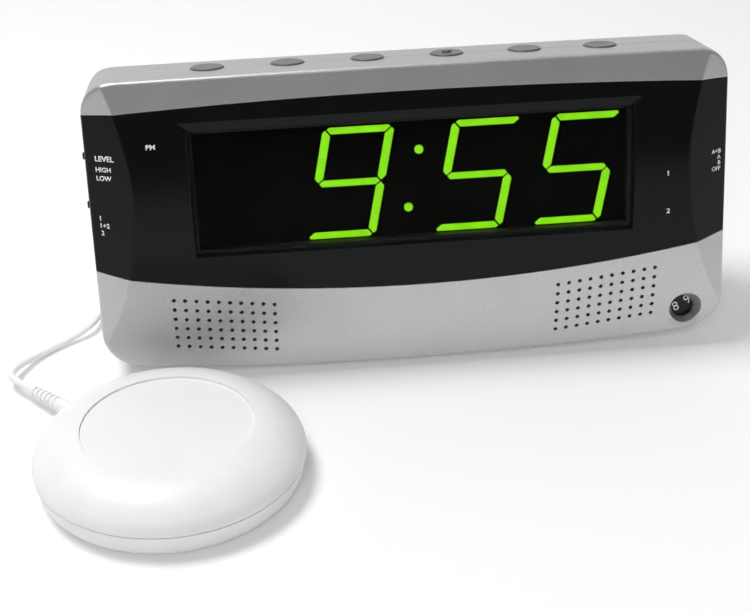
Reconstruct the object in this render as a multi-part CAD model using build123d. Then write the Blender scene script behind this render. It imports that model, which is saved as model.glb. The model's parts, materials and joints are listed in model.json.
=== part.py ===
from build123d import *
import math
import os

# Clock case. It leans back, and its face frame has x to the right, v up the face, w out of it.
lean_deg = 11.4
face_origin_y = -49.0
case_width = 223.2
case_wall = 2.4
dome_radius = 178.0
apex_v = 73.7
facet_start_x = 95.9
facet_slope_share = 0.554
top_mid_v = 114.6
top_end_drop = 0.6
bottom_mid_v = 5.2
bottom_end_rise = 5.9
top_corner_radius = 11.5
bottom_corner_radius = 15.0
front_edge_radius = 1.6
block_depth = 120.0
parting_w = -20.7
seam_gap = 0.3
tongue_length = 1.8
rear_arc_start_w = -26.0
rear_arc_radius = 26.0
rear_arc_deg = 70.0
rear_corner_radius = 16.0
rear_corner_margin = 0.05
rear_heel_radius = 5.0
fit_gap = 0.15
slide_gap = 0.3
turn_gap = 0.05
overrun = 1.0

# Face band with its display window.
band_top_border = 8.6
band_top_drop = 3.0
band_bottom_v = 36.6
band_bottom_rise = 11.5
band_side_w = -10.4
band_thickness = 1.6
band_joint = 0.25
ledge_wall = 1.7
window_half = 76.3
window_low_border = 16.2
window_high_border = 9.8
window_frame_margin = 5.2
window_frame_back_w = -8.3
bevel_height = 3.4
bevel_side = 3.2
bevel_low_w = -2.7
window_edge_radius = 0.5

# Display behind the window.
lens_front_w = -3.2
lens_thickness = 1.6
bezel_wall = 1.0
mask_thickness = 1.0
module_depth = 7.5
module_margin = 1.6
module_pin_row = 20.0
wheel_room = 1.0
quarter_deg = 90.0
module_pin_size = 2.0
module_pin_inset = 16.3
digit_drop = 0.53
digit_room = 4.16
digit_width_share = 0.324
digit_slant_deg = 11.9
segment_width = 2.9
segment_rise = 2.3
segment_gap = 0.8
segment_tip_share = 0.4
segment_height = 0.2
digit_centre_shares = (-0.753, -0.293, 0.293, 0.753)
digit_lit = ("", "abcdfg", "acdfg", "acdfg")
colon_x = 0.45
colon_spread = 10.2
colon_radius = 1.55

# Circuit boards and what holds them.
board_thickness = 1.6
main_board_front_w = -22.0
main_board_half = 92.0
main_board_low_v = 39.5
main_board_top_drop = 13.1
boss_radius = 3.0
board_screw_radius = 1.25
board_screw_length = 7.0
screw_head_height = 1.6
screw_head_radius = 2.4
screw_slot = 0.7
upper_boss_x = 86.0
upper_boss_drop = 17.6
lower_boss_x = 58.0
lower_boss_v = 43.5

# Buttons along the top, on the parting line, and the board below them.
button_xs = (-68.1, -40.5, -12.8, 14.8, 42.1, 68.9)
button_radius = 5.7
button_gap = 0.2
button_proud = 0.6
button_travel = 0.8
button_flange_radius = 6.7
button_flange = 1.0
button_edge_radius = 0.5
button_stem_radius = 2.0
nib_button = 3
nib_radius = 1.7
nib_height = 0.7
dish_button = 5
dish_depth = 0.5
button_board_drop = 10.0
button_board_half = 78.0
button_board_reach = 6.0
tact_size = 6.0
tact_height = 3.2
tact_plunger_radius = 1.6
tact_plunger = 0.5
top_boss_xs = (-54.3, 1.0, 55.5)
top_boss_w = -17.6
top_boss_radius = 2.4

# Slide switches in the side walls: side, rest height, travel, step count.
switch_w = -14.8
knob_height = 2.2
knob_width = 1.6
knob_proud = 1.1
knob_foot = 2.0
switch_depth = 5.0
switch_width = 6.0
switch_end = 3.0
switch_step_left = 2.7
switch_step_middle = 2.6
switch_step_right = 2.0
switch_drop_upper_left = 26.9
switch_drop_lower_left = 44.2
switch_drop_right = 42.2
side_board_width = 11.0
side_board_end = 8.0
side_post_radius = 2.2

# Volume wheel behind its peephole, and the control it turns.
wheel_radius = 24.0
wheel_proud = 1.0
wheel_v = 36.2
wheel_front_w = -14.2
wheel_thickness = 3.0
wheel_grip_count = 60
wheel_grip_depth = 0.5
wheel_pin_radius = 3.0
peephole_x = 98.1
peephole_v = 18.4
peephole_radius = 5.9
peephole_neck_radius = 4.0
peephole_depth = 4.3
peephole_wall = 1.2
control_radius = 8.0
control_gap = 0.3
tab_low_v = 26.0
tab_left_x = 76.0
tab_right_x = 100.0

# Grilles and what sounds behind them.
grille_columns = 10
grille_rows = 6
grille_pitch = 3.87
grille_inner_x = 50.6
grille_low_v = 13.8
grille_pitch_v = 3.74
grille_rise_share = 0.123
grille_hole_radius = 0.7
speaker_x = -68.0
speaker_v = 25.0
speaker_radius = 14.0
speaker_depth = 9.0
seat_depth = 2.6
seat_width = 2.0
holder_wall = 1.2
holder_length = 5.0
piezo_x = 53.5
piezo_v = 24.0
piezo_radius = 9.5
piezo_height = 4.0

# Case screws.
case_screw_inset = 14.6
case_screw_low_v = 30.0
case_screw_low_xs = (-94.0, 36.0)
case_boss_radius = 3.5
case_post_radius = 4.2
case_bore_radius = 3.0
case_floor = 2.0
case_screw_radius = 1.3
case_screw_length = 10.0
case_screw_clear = 0.4

# Rear wall: battery bay and door, sockets and vents.
bay_x = 46.0
bay_rise = 46.0
bay_end_room = 5.25
bay_side_room = 5.3
bay_front_room = 4.3
bay_wall = 1.6
door_gap = 0.25
door_thickness = 1.8
door_axis_up = 2.0
door_axis_in = 1.5
door_barrel_radius = 1.4
door_pin_radius = 0.9
door_pin_length = 1.2
door_recess = 0.6
door_recess_length = 14.0
door_recess_height = 5.0
door_rib = 0.6
battery_length = 46.4
battery_width = 26.4
battery_thick = 17.4
battery_edge = 2.0
terminal_radius = 3.3
terminal_height = 2.0
terminal_spread = 6.35
snap_thickness = 3.0
vent_count = 9
vent_pitch = 5.0
vent_width = 1.8
vent_height = 14.0
vent_rise = 72.0
shaker_jack_x = -80.0
power_jack_x = -52.0
jack_rise = 27.0
nut_thickness = 2.0
shaker_nose_radius = 3.0
shaker_nut_radius = 4.2
shaker_bore_radius = 1.85
shaker_jack_radius = 4.5
shaker_jack_depth = 17.0
power_nose_radius = 4.0
power_nut_radius = 5.6
power_bore_radius = 2.85
power_bore_depth = 9.5
power_pin_radius = 1.0
power_jack_radius = 5.0
power_jack_depth = 12.0
jack_proud = 2.6

# Rubber feet.
foot_radius = 5.0
foot_height = 2.5
foot_recess = 0.8
foot_edge_radius = 0.6
foot_front_x = 60.0
foot_rear_x = 85.0
foot_y = 20.0

# Small shares and details.
speaker_frame_shares = ((0.9, 0.0), (1.0, 0.0), (1.0, 0.13), (0.93, 0.13), (0.57, 0.56), (0.57, 1.0),
                        (0.0, 1.0), (0.0, 0.64), (0.36, 0.64), (0.9, 0.11))
speaker_cone_shares = ((0.89, 0.03), (0.89, 0.09), (0.33, 0.58), (0.0, 0.58), (0.0, 0.32), (0.25, 0.36),
                       (0.32, 0.5))
shaker_screw_count = 3
collar_height = 1.2
cradle_places = (-0.36, 0.36)
cradle_height_share = 0.7
motor_edge = 0.8
strap_screw_radius = 1.0
arc_share = 0.45
coil_step = 0.25
plug_foot_share = 0.75
plug_relief_wall = 0.5
cross_share = 0.6
dish_share = 0.75
piezo_hole_share = 0.2
door_rib_count = 2
door_stop = 1.0
door_stop_half = 8.0
chip_spots = ((-40.0, 70.0), (20.0, 78.0))
chip_length = 24.0
chip_width = 9.0
chip_height = 3.4
capacitor_spots = ((-66.0, 60.0), (-66.0, 74.0), (58.0, 90.0))
capacitor_radius = 4.0
capacitor_height = 11.0

# Bed shaker.
shaker_x = -88.5
shaker_y = -92.5
shaker_radius = 44.7
shaker_height = 20.9
shaker_wall = 2.0
shaker_parting_z = 9.6
shaker_seam = 0.35
shaker_rim_arc = 7.0
shaker_rim_deg = 40.0
shaker_draft = 1.2
shaker_side_z = 4.2
shaker_base_radius = 39.6
label_radius = 28.3
label_lip = 0.7
label_recess = 0.8
label_thickness = 0.15
motor_radius = 7.0
motor_length = 24.0
motor_shift = -3.0
motor_z = 10.0
shaft_radius = 1.0
shaft_length = 9.0
shaft_inside = 4.0
weight_radius = 6.4
weight_length = 7.0
weight_gap = 1.2
strap_thickness = 0.8
strap_width = 8.0
strap_foot = 7.0
strap_boss_radius = 2.6
cradle_wall = 1.6
shaker_screw_circle = 34.0
shaker_screw_radius = 1.3
shaker_screw_length = 8.0
shaker_boss_radius = 3.0
shaker_head_radius = 2.4
shaker_head_height = 1.6

# Cord of the shaker: its relief, visible stretch, coil, tail and plug.
cord_radius = 1.3
relief_deg = 134.0
relief_z = 5.0
relief_length = 26.0
relief_root_radius = 2.9
relief_tip_radius = 1.95
relief_ribs = 6
relief_rib_depth = 0.5
relief_rib_start = 12.0
relief_rib_pitch = 2.2
relief_rib_width = 0.9
relief_root_length = 4.0
relief_collar = 0.7
turn_pitch = 3.1
layer_pitch = 3.1
turns_per_layer = 4
layer_count = 4
coil_turns = 15.5
coil_mid_radius = 15.25
coil_x = -22.0
coil_y = 74.0
coil_lead = 3.0
coil_samples = 12
plug_radius = 4.2
plug_length = 17.0
plug_relief_length = 9.0
plug_tip_radius = 1.75
plug_tip_length = 14.0
plug_edge_radius = 0.8

half_width = case_width / 2
base_height = foot_height
band_top_v = top_mid_v - band_top_border
window_low_v = band_bottom_v + window_low_border
window_high_v = band_top_v - window_high_border
digit_mid_v = (window_low_v + window_high_v) / 2 - digit_drop
digit_height = window_high_v - window_low_v - digit_room
digit_width = digit_width_share * window_half
digit_centres = [colon_x + share * window_half for share in digit_centre_shares]
main_board_high_v = top_mid_v - main_board_top_drop
button_board_v = top_mid_v - button_board_drop
upper_boss_v = top_mid_v - upper_boss_drop
case_screw_v = top_mid_v - case_screw_inset
case_screw_spots = [(side * (half_width - case_screw_inset), case_screw_v) for side in (-1, 1)]
case_screw_spots += [(x, case_screw_low_v) for x in case_screw_low_xs]
switch_v_upper_left = top_mid_v - switch_drop_upper_left
switch_v_lower_left = top_mid_v - switch_drop_lower_left
switch_v_right = top_mid_v - switch_drop_right
bay_length = slide_gap + battery_length + turn_gap + snap_thickness + bay_end_room
bay_height = slide_gap + battery_width + bay_side_room
bay_depth = slide_gap + battery_thick + bay_front_room
lean_sin = math.sin(math.radians(lean_deg))
lean_cos = math.cos(math.radians(lean_deg))
rear_sin = math.sin(math.radians(rear_arc_deg))
rear_cos = math.cos(math.radians(rear_arc_deg))
face_plane = Plane(origin=(0, face_origin_y, 0), x_dir=(1, 0, 0), z_dir=(0, -lean_cos, lean_sin))
side_plane = Plane(origin=(0, 0, 0), x_dir=(0, 0, 1), z_dir=(-1, 0, 0))
reach = 2 * case_width
wheel_x = half_width + wheel_proud - wheel_radius
ledge_depth = band_thickness + band_joint / 2
mask_front_w = window_frame_back_w - fit_gap
module_back_w = mask_front_w - mask_thickness - module_depth
relief_radians = math.radians(relief_deg)
relief_tip_reach = shaker_radius + relief_length
parts = {}


def slab(low_w, high_w):
    """Everything between two depths of the face frame."""
    return Pos(0, 0, low_w) * extrude(Rectangle(reach, reach), high_w - low_w)


def box_between(low, high):
    size = Vector(*high) - Vector(*low)
    middle = (Vector(*high) + Vector(*low)) * 0.5
    return Pos(middle) * Box(abs(size.X), abs(size.Y), abs(size.Z))


def rod(start, direction, radius, length):
    """A cylinder that starts at a point and runs along a direction."""
    return extrude(Plane(origin=start, z_dir=direction) * Circle(radius), length)


# Case skins.
def skin_w(v, inset=0.0):
    """Depth of the domed face at a height."""
    return math.sqrt((dome_radius - inset) ** 2 - (v - apex_v) ** 2) - dome_radius


def skin_plane(x, v, inset=0.0):
    """A plane that touches the dome, x to the right, y up the face, z out of it."""
    tilt = math.asin((v - apex_v) / dome_radius)
    normal = Vector(0, math.sin(tilt), math.cos(tilt))
    centre = Vector(x, apex_v, -dome_radius) + normal * (dome_radius - inset)
    return Plane(origin=centre, x_dir=(1, 0, 0), z_dir=normal)


def bowed_face(half, top_v, top_drop, bottom_v, bottom_rise):
    top = ThreePointArc((-half, top_v - top_drop), (0, top_v), (half, top_v - top_drop))
    bottom = ThreePointArc((half, bottom_v + bottom_rise), (0, bottom_v), (-half, bottom_v + bottom_rise))
    right = Line(top @ 1, bottom @ 0)
    left = Line(bottom @ 1, top @ 0)
    return make_face([top, right, bottom, left])


def case_outline(inset):
    face = bowed_face(half_width - inset, top_mid_v - inset, top_end_drop,
                      bottom_mid_v + inset, bottom_end_rise)
    face = fillet(face.vertices().sort_by(Axis.Y)[-2:], top_corner_radius - inset)
    low_corners = face.vertices().filter_by(lambda corner: corner.Y < apex_v / 2)
    return fillet(low_corners, bottom_corner_radius - inset)


def dome_solid(inset):
    disc = side_plane * Pos(-dome_radius, apex_v) * Circle(dome_radius - inset)
    return extrude(disc, case_width, both=True)


def facet_cutter(inset, side):
    angle = math.atan(facet_slope_share)
    normal = Vector(side * math.sin(angle), 0, math.cos(angle))
    start = Vector(side * facet_start_x, 0, 0) - normal * inset
    return extrude(Plane(origin=start, z_dir=normal) * Rectangle(reach, reach), reach)


def side_profile(inset):
    """The case seen from the side: its face and the end of the arc over its back."""
    radius = rear_arc_radius - inset
    centre = Vector(rear_arc_start_w, top_mid_v - rear_arc_radius + overrun)
    arc_start = centre + Vector(0, radius)
    half_turn = math.radians(rear_arc_deg) / 2
    arc_mid = centre + Vector(-math.sin(half_turn), math.cos(half_turn)) * radius
    arc_end = centre + Vector(-rear_sin, rear_cos) * radius
    floor_z = base_height + inset
    height = arc_end.Y * lean_cos + arc_end.X * lean_sin - floor_z
    fall = height / (rear_sin * lean_cos + rear_cos * lean_sin)
    heel = arc_end - Vector(rear_cos, rear_sin) * fall
    toe = Vector(overrun, (floor_z - overrun * lean_sin) / lean_cos)
    crown = Vector(overrun, arc_start.Y)
    arc = ThreePointArc(arc_start, arc_mid, arc_end)
    face = make_face([Line(toe, crown), Line(crown, arc_start), arc, Line(arc_end, heel), Line(heel, toe)])
    heel_corner = face.vertices().sort_by_distance(heel)[0]
    return fillet(heel_corner, rear_heel_radius - inset), arc_end, heel


def rear_plan_prism(inset):
    """Rounds the upright edges of the back, along its slope."""
    _, arc_end, _ = side_profile(inset)
    wall_plane = Plane(origin=(0, arc_end.Y, arc_end.X), x_dir=(1, 0, 0), z_dir=(0, -rear_sin, -rear_cos))
    half = half_width - inset + rear_corner_margin
    plan = Pos(0, reach / 2 - rear_corner_margin) * Rectangle(2 * half, reach)
    plan = fillet(plan.vertices().sort_by(Axis.Y)[:2], rear_corner_radius - inset)
    return extrude(wall_plane * plan, reach, both=True)


def rounded_front(block, inset, radius):
    """Rounds the edges of the front and the creases of its facets."""
    def is_front(edge):
        middle = edge.center()
        at_side = abs(abs(middle.X) - half_width + inset) < overrun / 2
        crease = edge.geom_type == GeomType.LINE and at_side and abs(middle.Y - apex_v) < apex_v / 2
        return middle.Z > -block_depth / 3 and (crease or edge.geom_type != GeomType.LINE)
    return fillet(block.edges().filter_by(is_front), radius)


def case_volume(inset, edge_radius=0.0):
    body = extrude(case_outline(inset), block_depth, dir=(0, 0, -1))
    body = body & dome_solid(inset)
    body = body - facet_cutter(inset, 1) - facet_cutter(inset, -1)
    if edge_radius:
        body = rounded_front(body, inset, edge_radius)
    profile, _, _ = side_profile(inset)
    return body & extrude(side_plane * profile, case_width, both=True) & rear_plan_prism(inset)


def band_prism(margin):
    """The band's outline, grown by a margin above and below."""
    face = bowed_face(half_width + overrun, band_top_v + margin, band_top_drop,
                      band_bottom_v - margin, band_bottom_rise)
    return Pos(0, 0, band_side_w) * extrude(face, block_depth)


# The rear wall has its own frame: x to the left, y up the wall, z out of it.
def rear_plane(x, rise, inset=0.0):
    _, _, heel = side_profile(0)
    out = Vector(0, rear_cos, -rear_sin)
    up = Vector(0, rear_sin, rear_cos)
    origin = Vector(x, heel.Y, heel.X) + up * rise - out * inset
    return Plane(origin=origin, x_dir=(-1, 0, 0), z_dir=out)


def front_peephole():
    """The funnel over the volume wheel: its wall and what is cut out of it."""
    skin = skin_w(peephole_v)
    neck_w = skin - peephole_depth
    wall_depth = peephole_depth - case_wall / 2
    wall = Pos(peephole_x, peephole_v, neck_w) * extrude(Circle(peephole_radius + peephole_wall), wall_depth)
    slope = (peephole_radius - peephole_neck_radius) / peephole_depth
    high = peephole_radius + slope * 2 * case_wall
    bore = Pos(peephole_x, peephole_v, neck_w + (peephole_depth + 2 * case_wall) / 2) * Cone(
        peephole_neck_radius, high, peephole_depth + 2 * case_wall)
    through = Pos(peephole_x, peephole_v, neck_w) * Cylinder(peephole_neck_radius, 2 * overrun)
    return wall, bore + through


def grille_holes():
    holes = []
    for side in (-1, 1):
        for column in range(grille_columns):
            for row in range(grille_rows):
                x = side * (grille_inner_x + column * grille_pitch)
                v = grille_low_v + row * grille_pitch_v + column * grille_pitch * grille_rise_share
                start = (x, v, skin_w(v) - 2 * case_wall)
                holes.append(rod(start, (0, 0, 1), grille_hole_radius, 3 * case_wall))
    return holes


def switch_slot(side, rest_v, travel):
    """The slot in a side wall that a switch knob slides in; travel is up from the rest place."""
    low = min(rest_v, rest_v + travel) - knob_height / 2 - slide_gap
    high = max(rest_v, rest_v + travel) + knob_height / 2 + slide_gap
    half = knob_width / 2 + slide_gap
    near = (side * (half_width - 2 * case_wall), low, switch_w - half)
    return box_between(near, (side * (half_width + overrun), high, switch_w + half))


def side_posts(side, low_v, high_v):
    """Two posts from a side wall to its switch board, and the pilot holes in them."""
    posts = []
    pilots = []
    for v in (low_v + side_board_end / 2, high_v - side_board_end / 2):
        foot = (side * (half_width - case_wall / 2), v, switch_w)
        length = switch_depth + fit_gap + case_wall / 2
        posts.append(rod(foot, (-side, 0, 0), side_post_radius, length))
        end = (side * (half_width - case_wall - switch_depth - fit_gap), v, switch_w)
        pilots.append(rod(end, (side, 0, 0), board_screw_radius, switch_depth - overrun))
    return posts, pilots


switches = {
    "vibration": (-1, switch_v_upper_left, -switch_step_left),
    "alarm": (-1, switch_v_lower_left, -2 * switch_step_middle),
    "mode": (1, switch_v_right, 3 * switch_step_right),
}
left_board_low = switch_v_lower_left - 2 * switch_step_middle - switch_end - side_board_end
left_board_high = switch_v_upper_left + switch_end + side_board_end
right_board_low = switch_v_right - switch_end - side_board_end
right_board_high = switch_v_right + 3 * switch_step_right + switch_end + side_board_end
board_boss_spots = [(side * upper_boss_x, upper_boss_v) for side in (-1, 1)]
board_boss_spots += [(side * lower_boss_x, lower_boss_v) for side in (-1, 1)]


def wheel_slot():
    """The opening in the right side wall that the wheel's rim stands out of."""
    half = math.sqrt(wheel_radius ** 2 - (half_width - case_wall - wheel_x) ** 2) + slide_gap
    low_w = wheel_front_w - wheel_thickness - slide_gap
    return box_between((half_width - 2 * case_wall, wheel_v - half, low_w),
                       (half_width + 2 * wheel_proud, wheel_v + half, wheel_front_w + slide_gap))


def button_holes():
    start_v = top_mid_v - 3 * case_wall
    radius = button_radius + button_gap
    return [rod((x, start_v, parting_w), (0, 1, 0), radius, 5 * case_wall) for x in button_xs]


def holder_ring(x, v, radius):
    """A round holder on the inside of the face: a wall around a lower seat."""
    plane = skin_plane(x, v, case_wall / 2 + overrun / 2)
    wall = Circle(radius + fit_gap + holder_wall) - Circle(radius + fit_gap)
    seat = Circle(radius + fit_gap + holder_wall) - Circle(radius - seat_width)
    ring = extrude(plane * wall, -holder_length - case_wall / 2) + extrude(plane * seat, -seat_depth)
    return ring


def front_walls():
    """The hollow front with its recess for the band."""
    shell = case_volume(0, front_edge_radius) & slab(parting_w, overrun)
    shell = shell - case_volume(ledge_depth + ledge_wall)
    shell = shell - (case_volume(case_wall) - band_prism(2 * band_joint + case_wall))
    return shell - (band_prism(0) - case_volume(ledge_depth))


def front_bosses():
    """The bosses that take the screws of the main board, of the case and of the button board."""
    band_room = band_prism(0) - case_volume(ledge_depth)
    inner = (case_volume(case_wall / 2) & slab(parting_w, overrun)) - band_room
    bosses = []
    for x, v in board_boss_spots:
        end_w = skin_w(v) - ledge_depth - overrun / 2
        bosses.append(rod((x, v, main_board_front_w), (0, 0, 1), boss_radius, end_w - main_board_front_w))
    for x, v in case_screw_spots:
        bosses.append(rod((x, v, parting_w), (0, 0, 1), case_boss_radius, -parting_w) & inner)
    for x in top_boss_xs:
        length = top_mid_v - case_wall / 2 - top_end_drop - button_board_v
        bosses.append(rod((x, button_board_v, top_boss_w), (0, 1, 0), top_boss_radius, length))
    for spot in ((speaker_x, speaker_v, speaker_radius), (piezo_x, piezo_v, piezo_radius)):
        bosses.append(holder_ring(*spot) & inner)
    return bosses


def front_shell():
    funnel_wall, funnel_bore = front_peephole()
    tongue_room = case_volume(case_wall / 2) - case_volume(case_wall + fit_gap)
    tongue_room = tongue_room & slab(parting_w - overrun, parting_w + tongue_length + seam_gap)
    shell = front_walls() + front_bosses() + funnel_wall - tongue_room - funnel_bore
    for side, low, high in ((-1, left_board_low, left_board_high), (1, right_board_low, right_board_high)):
        posts, pilots = side_posts(side, low, high)
        shell = shell + posts - pilots
    half = window_half + window_frame_margin + band_joint
    opening = box_between((-half, window_low_v - window_frame_margin - band_joint, -block_depth / 8),
                          (half, window_high_v + window_frame_margin + band_joint, overrun))
    shell = shell - opening - grille_holes() - button_holes() - wheel_slot()
    shell = shell - [switch_slot(side, rest, travel) for side, rest, travel in switches.values()]
    for x, v in board_boss_spots:
        shell = shell - rod((x, v, main_board_front_w), (0, 0, 1), board_screw_radius, board_screw_length)
    for x, v in case_screw_spots:
        shell = shell - rod((x, v, parting_w), (0, 0, 1), case_screw_radius, case_screw_length)
    for x in top_boss_xs:
        spot = (x, button_board_v, top_boss_w)
        shell = shell - rod(spot, (0, 1, 0), board_screw_radius, board_screw_length / 2)
    return shell


# Face band and display.
def window_box(margin, back_w):
    """The window's opening, grown by a margin, from a depth to in front of the face."""
    return box_between((-window_half - margin, window_low_v - margin, back_w),
                       (window_half + margin, window_high_v + margin, overrun))


def window_bevel():
    """The shallow slope above the window, with mitred ends."""
    def section(v, half, low_w):
        plane = Plane(origin=(0, v, 0), x_dir=(1, 0, 0), z_dir=(0, 1, 0))
        return plane * Pos(0, -(low_w + overrun) / 2) * Rectangle(2 * half, overrun - low_w)
    high_v = window_high_v + bevel_height
    low = section(window_high_v, window_half, bevel_low_w)
    high = section(high_v, window_half + bevel_side, skin_w(high_v))
    return loft([low, high])


def face_band():
    outer = case_volume(0, front_edge_radius)
    skin = (outer - case_volume(band_thickness)) & band_prism(-band_joint)
    skin = skin & slab(band_side_w + band_joint, overrun)
    frame = window_box(window_frame_margin, window_frame_back_w) & outer
    band = skin + frame - window_box(0, -block_depth) - window_bevel()

    def is_rim(edge):
        spot = edge.center()
        inside = abs(spot.X) < window_half + 2 * bevel_side and spot.Y < window_high_v + 2 * bevel_height
        return inside and spot.Y > window_low_v - bevel_height and abs(spot.Z - skin_w(spot.Y)) < fit_gap
    return fillet(band.edges().filter_by(is_rim), window_edge_radius)


def display_lens():
    low = (-window_half + fit_gap, window_low_v + fit_gap, lens_front_w - lens_thickness)
    high = (window_half - fit_gap, window_high_v - fit_gap, lens_front_w)
    lens = box_between(low, high)
    return chamfer(lens.faces().sort_by(Axis.Z)[-1].edges(), lens_thickness / 8)


def display_bezel():
    back = box_between((-window_half + fit_gap, window_low_v + fit_gap, mask_front_w),
                       (window_half - fit_gap, window_high_v - fit_gap, lens_front_w - lens_thickness))
    inner = fit_gap + bezel_wall
    hole = box_between((-window_half + inner, window_low_v + inner, -block_depth),
                       (window_half - inner, window_high_v - inner, overrun))
    return back - hole


def display_module():
    """The display's mask and body, its low right corner cut clear of the volume wheel."""
    half = window_half + module_margin
    low_v = window_low_v - module_margin
    high_v = window_high_v + module_margin
    mask_back_w = mask_front_w - mask_thickness
    mask = box_between((-half, low_v, mask_back_w), (half, high_v, mask_front_w))
    body = box_between((-half, low_v, module_back_w), (half, high_v, mask_back_w))
    wheel_space = 2 * (wheel_radius + wheel_room)
    turned = Pos(wheel_x, wheel_v, module_back_w) * Rot(0, 0, quarter_deg / 2)
    module = mask + (body - extrude(turned * Rectangle(wheel_space, wheel_space), module_depth))
    for side in (-1, 1):
        x = side * (window_half - module_pin_inset)
        module = module + box_between(
            (x - module_pin_size / 2, digit_mid_v - module_pin_row / 2, main_board_front_w),
            (x + module_pin_size / 2, digit_mid_v + module_pin_row / 2, module_back_w))
    return module


def segment_end(joint, inward, outward, half, corner):
    """The three corners of a bar at one joint; at a digit's corner the point lies nearer the outside."""
    shift = segment_tip_share * half if corner else 0
    joint = Vector(*joint)
    tip = joint + inward * (segment_gap / 2 - shift) + outward * shift
    inner = joint + inward * (segment_gap / 2 + half) - outward * half
    outer = joint + inward * (segment_gap / 2 + half - 2 * shift) + outward * half
    return inner, tip, outer


def segment_bar(start, end, centre_x):
    """One display bar between two joints of a digit, with pointed ends, leaning like the digit."""
    along = (Vector(*end) - Vector(*start)).normalized()
    outward = Vector(-along.Y, along.X)
    if outward.dot(Vector(*start)) < 0:
        outward = -outward
    half = (segment_rise if start[1] == end[1] else segment_width) / 2
    inner, tip, outer = segment_end(start, along, outward, half, start[1] != 0)
    far_inner, far_tip, far_outer = segment_end(end, -along, outward, half, end[1] != 0)
    corners = [inner, tip, outer, far_outer, far_tip, far_inner]
    lean = math.tan(math.radians(digit_slant_deg))
    leaned = [(centre_x + corner.X + lean * corner.Y, digit_mid_v + corner.Y) for corner in corners]
    face = make_face(Polyline(*leaned, close=True))
    return extrude(Pos(0, 0, mask_front_w) * face, segment_height)


def display_segments():
    """Every bar of the four digits, lit and unlit, and the two dots of the colon."""
    across = (digit_width - segment_width) / 2
    up = (digit_height - segment_rise) / 2
    joints = {"a": ((-across, up), (across, up)), "b": ((across, 0), (across, up)),
              "c": ((across, -up), (across, 0)), "d": ((-across, -up), (across, -up)),
              "e": ((-across, -up), (-across, 0)), "f": ((-across, 0), (-across, up)),
              "g": ((-across, 0), (across, 0))}
    lit = []
    unlit = []
    for place, (centre_x, lit_bars) in enumerate(zip(digit_centres, digit_lit)):
        names = "abcdefg" if place else "bc"
        for name in names:
            bar = segment_bar(*joints[name], centre_x)
            (lit if name in lit_bars else unlit).append(bar)
    for side in (-1, 1):
        x = colon_x + side * colon_spread * math.tan(math.radians(digit_slant_deg))
        spot = (x, digit_mid_v + side * colon_spread, mask_front_w)
        lit.append(rod(spot, (0, 0, 1), colon_radius, segment_height))
    return lit, unlit


# Circuit boards.
def main_board():
    board = box_between((-main_board_half, main_board_low_v, main_board_front_w - board_thickness),
                        (main_board_half, main_board_high_v, main_board_front_w))
    board = board + box_between((tab_left_x, tab_low_v, main_board_front_w - board_thickness),
                                (tab_right_x, main_board_low_v + overrun, main_board_front_w))
    for x, v in board_boss_spots:
        board = board - rod((x, v, -block_depth), (0, 0, 1), board_screw_radius + slide_gap, block_depth)
    return board


def board_chips():
    back = main_board_front_w - board_thickness
    chips = []
    for x, v in chip_spots:
        chips.append(box_between((x - chip_length / 2, v - chip_width / 2, back - chip_height),
                                 (x + chip_length / 2, v + chip_width / 2, back)))
    return chips


def board_capacitors():
    back = main_board_front_w - board_thickness
    return [rod((x, v, back), (0, 0, -1), capacitor_radius, capacitor_height) for x, v in capacitor_spots]


def button_board():
    low = (-button_board_half, button_board_v - board_thickness, parting_w - button_board_reach)
    high = (button_board_half, button_board_v, parting_w + button_board_reach)
    board = box_between(low, high)
    for x in top_boss_xs:
        board = board - rod((x, button_board_v - 2 * board_thickness, top_boss_w), (0, 1, 0),
                            board_screw_radius + slide_gap, 3 * board_thickness)
    return board


def tact_switches():
    """One small push switch under each button."""
    pieces = []
    for x in button_xs:
        half = tact_size / 2
        body = box_between((x - half, button_board_v, parting_w - half),
                           (x + half, button_board_v + tact_height, parting_w + half))
        start = (x, button_board_v + tact_height, parting_w)
        plunger = rod(start, (0, 1, 0), tact_plunger_radius, tact_plunger)
        pieces.append(body + plunger)
    return pieces


def side_board(side, low_v, high_v):
    outer = side * (half_width - case_wall - fit_gap - switch_depth)
    board = box_between((outer, low_v, switch_w - side_board_width / 2),
                        (outer - side * board_thickness, high_v, switch_w + side_board_width / 2))
    for v in (low_v + side_board_end / 2, high_v - side_board_end / 2):
        board = board - rod((outer + side * overrun, v, switch_w), (-side, 0, 0),
                            board_screw_radius + slide_gap, board_thickness + 2 * overrun)
    return board


def screw(start, direction, radius, length, head_radius, head_height):
    """A pan head screw: its head stands at the start point, its shank runs along the direction."""
    plane = Plane(origin=start, z_dir=direction)
    shank = extrude(plane * Circle(radius), length)
    head = extrude(plane * Circle(head_radius), -head_height)
    top = head.faces().sort_by_distance(Vector(*start) - Vector(*direction).normalized() * reach)[0]
    head = fillet(top.edges(), head_height / 4)
    slot_length = 2 * head_radius * cross_share
    cross = Box(slot_length, screw_slot, head_height) + Box(screw_slot, slot_length, head_height)
    return shank + head - plane * (Pos(0, 0, -head_height) * cross)


def board_screws():
    """The screws of the main board, of the button board and of the two side boards."""
    back = main_board_front_w - board_thickness
    size = (board_screw_radius - turn_gap, board_screw_length, screw_head_radius, screw_head_height)
    screws = [screw((x, v, back), (0, 0, 1), *size) for x, v in board_boss_spots]
    short = (board_screw_radius - turn_gap, board_screw_length / 2, screw_head_radius, screw_head_height)
    under_v = button_board_v - board_thickness
    screws += [screw((x, under_v, top_boss_w), (0, 1, 0), *short) for x in top_boss_xs]
    for side, low, high in ((-1, left_board_low, left_board_high), (1, right_board_low, right_board_high)):
        inner = side * (half_width - case_wall - fit_gap - switch_depth - board_thickness)
        for v in (low + side_board_end / 2, high - side_board_end / 2):
            screws.append(screw((inner, v, switch_w), (side, 0, 0), *short))
    return screws


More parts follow.
